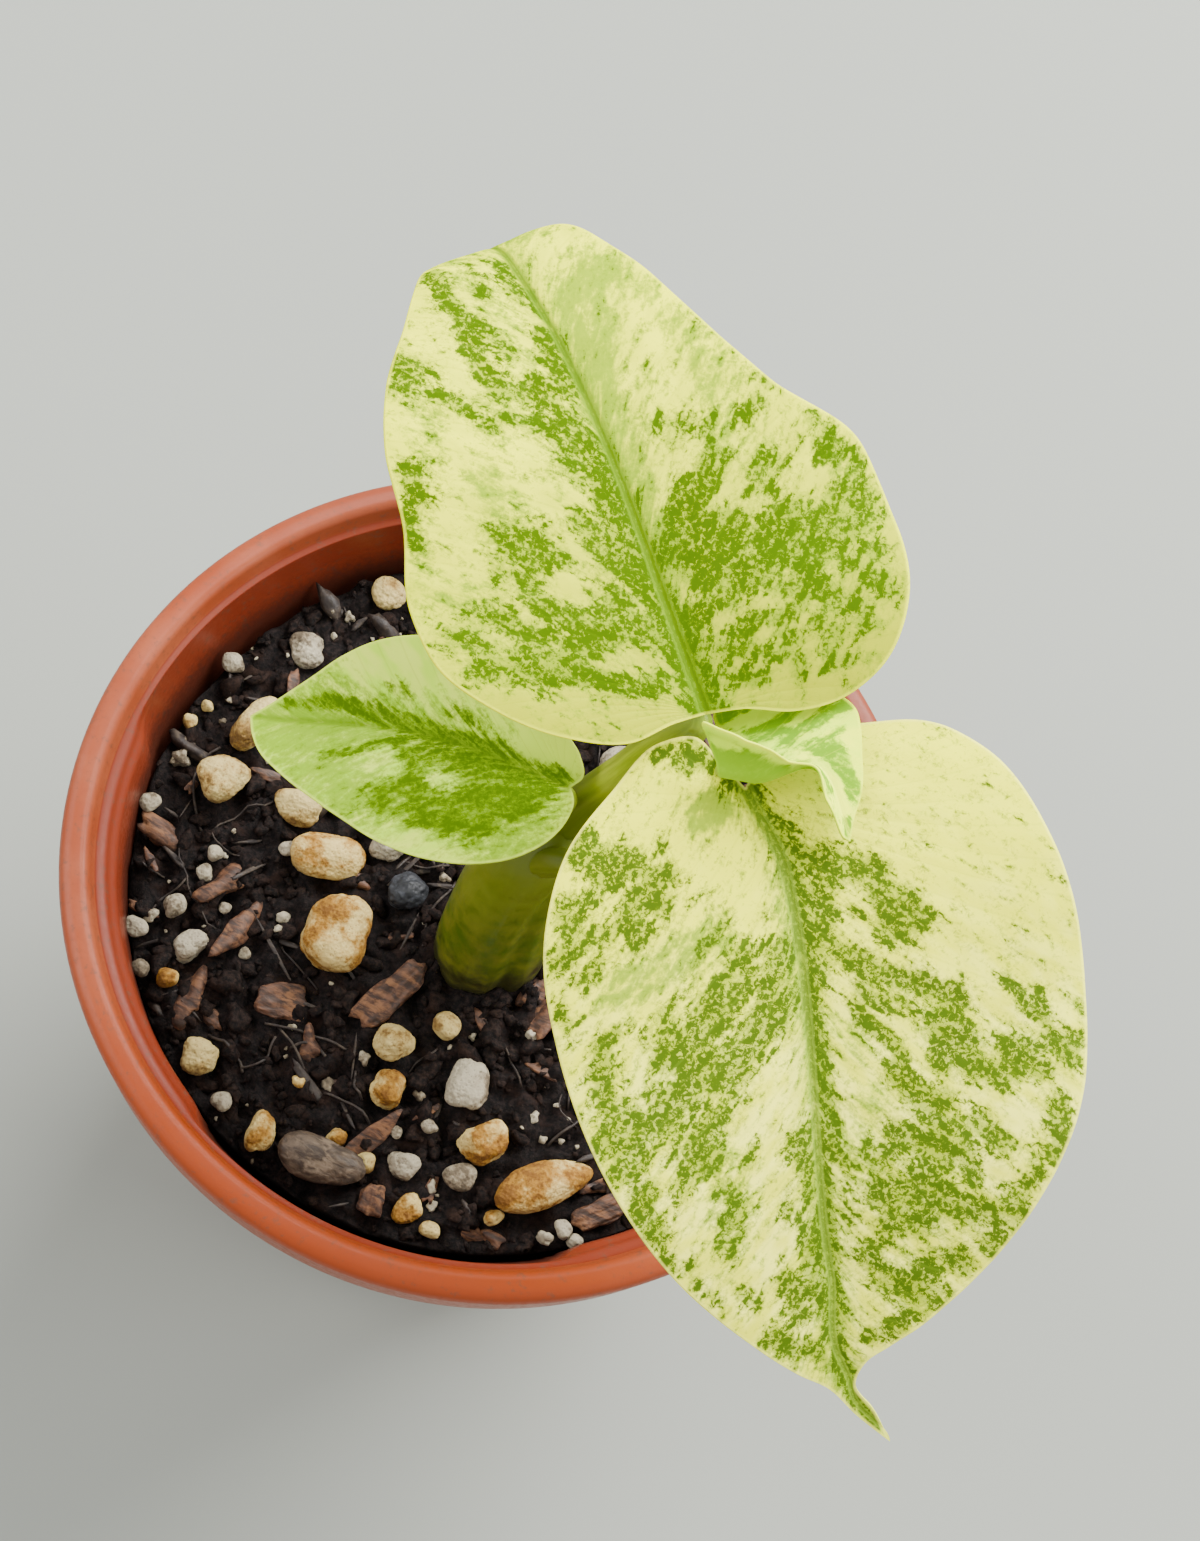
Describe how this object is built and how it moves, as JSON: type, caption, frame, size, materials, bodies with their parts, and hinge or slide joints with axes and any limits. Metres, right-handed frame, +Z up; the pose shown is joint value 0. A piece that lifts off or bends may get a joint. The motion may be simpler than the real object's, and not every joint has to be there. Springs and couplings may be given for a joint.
{
  "type": "potted green snow monstera",
  "caption": "Young potted aroid with cream and green variegated leaves on slim stalks, in a round tapered terracotta-coloured pot of chunky mix.",
  "frame": {"origin": "middle of the pot's flat underside", "axes": "+Z up along the pot's axis; the longest open leaf hangs over the rim towards +X and -Y"},
  "size_m": [0.0989, 0.09, 0.135],
  "materials": {
    "terracotta_plastic": "satin",
    "potting_mix": "rough, damp",
    "stem_green": "satin",
    "root": "rough",
    "stalk_green": "satin",
    "variegated_leaf": "satin, waxy",
    "tan_pumice": "rough",
    "orange_pumice": "rough",
    "white_pumice": "rough",
    "charcoal": "rough",
    "bark": "rough"
  },
  "bodies": {
    "root": {"pot": "terracotta_plastic", "soil": "potting_mix", "stem": "stem_green", "roots": "root", "petiole_upper": "stalk_green", "petiole_lower": "stalk_green", "petiole_left": "stalk_green", "petiole_new": "stalk_green", "leaf_upper": "variegated_leaf", "leaf_lower": "variegated_leaf", "leaf_left": "variegated_leaf", "leaf_new": "variegated_leaf", "pumice_01": "tan_pumice", "pumice_02": "tan_pumice", "pumice_03": "orange_pumice", "pumice_04": "orange_pumice", "pumice_05": "tan_pumice", "pumice_06": "white_pumice", "pumice_07": "tan_pumice", "pumice_08": "orange_pumice", "pumice_09": "white_pumice", "pumice_10": "orange_pumice", "pumice_11": "orange_pumice", "pumice_12": "white_pumice", "pumice_13": "orange_pumice", "pumice_14": "orange_pumice", "pumice_15": "white_pumice", "pumice_16": "tan_pumice", "pumice_17": "tan_pumice", "pumice_18": "white_pumice", "pumice_19": "white_pumice", "pumice_20": "orange_pumice", "pumice_21": "tan_pumice", "pumice_22": "orange_pumice", "charcoal": "charcoal", "bark_lump": "bark", "bark_01": "bark", "bark_02": "bark", "bark_03": "bark", "bark_04": "bark", "bark_05": "bark"}
  },
  "joints": []
}
